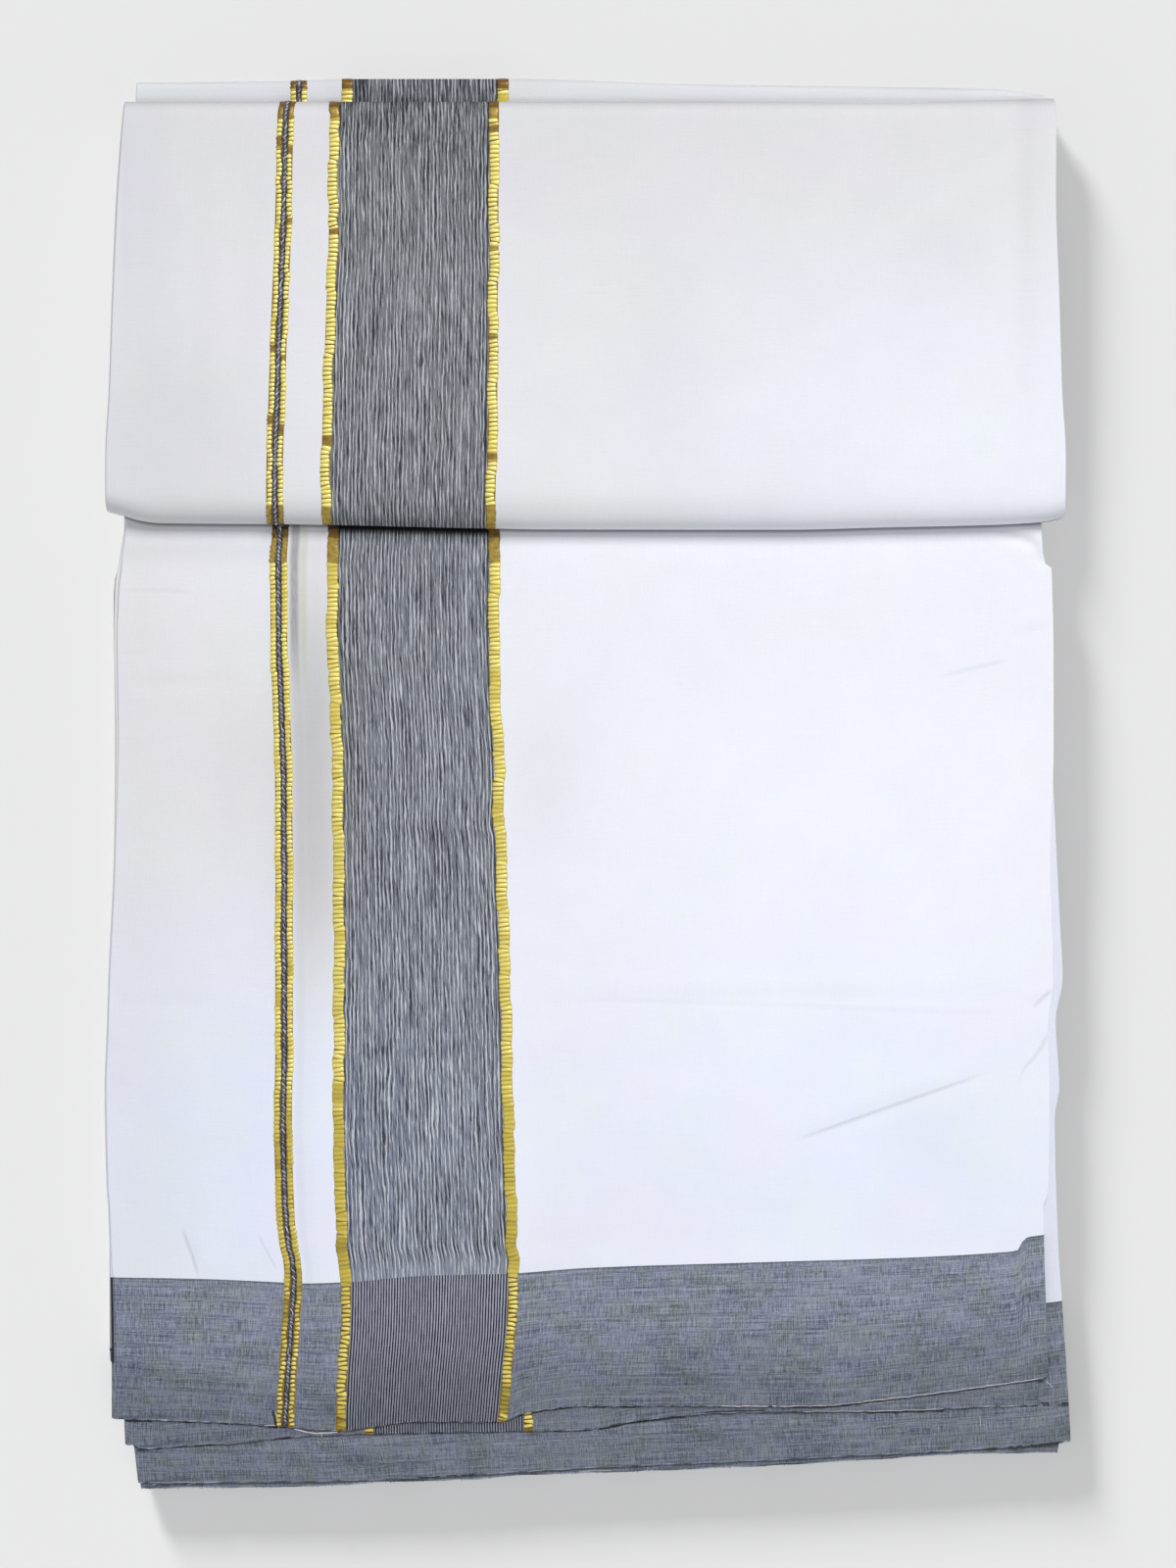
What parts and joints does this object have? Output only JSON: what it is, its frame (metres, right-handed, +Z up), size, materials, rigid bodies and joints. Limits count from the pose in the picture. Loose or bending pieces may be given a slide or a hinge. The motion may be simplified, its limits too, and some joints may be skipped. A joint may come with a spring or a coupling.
{
  "type": "folded dhoti cloth",
  "caption": "Folded cotton dhoti lying flat: a pile of cloth leaves with staggered hems, a folded-over upper flap, and woven border stripes.",
  "frame": {"origin": "on the ground under the middle of the folded pile", "axes": "+X to the garment's right as it is looked down on, +Y to its folded upper end, +Z up"},
  "size_m": [0.3233, 0.472, 0.0212],
  "materials": {
    "white_cotton": "plain woven bleached cotton, matt, with a woven grey border and gold thread stripes",
    "grey_cotton": "plain woven cotton of dark and light threads, matt, with a slubbed grain"
  },
  "bodies": {
    "root": {"hidden_layers": "white_cotton", "third_leaf": "grey_cotton", "second_leaf": "grey_cotton", "front_leaf": "white_cotton", "back_fold": "white_cotton", "flap_layers": "white_cotton", "flap": "white_cotton"}
  },
  "joints": []
}
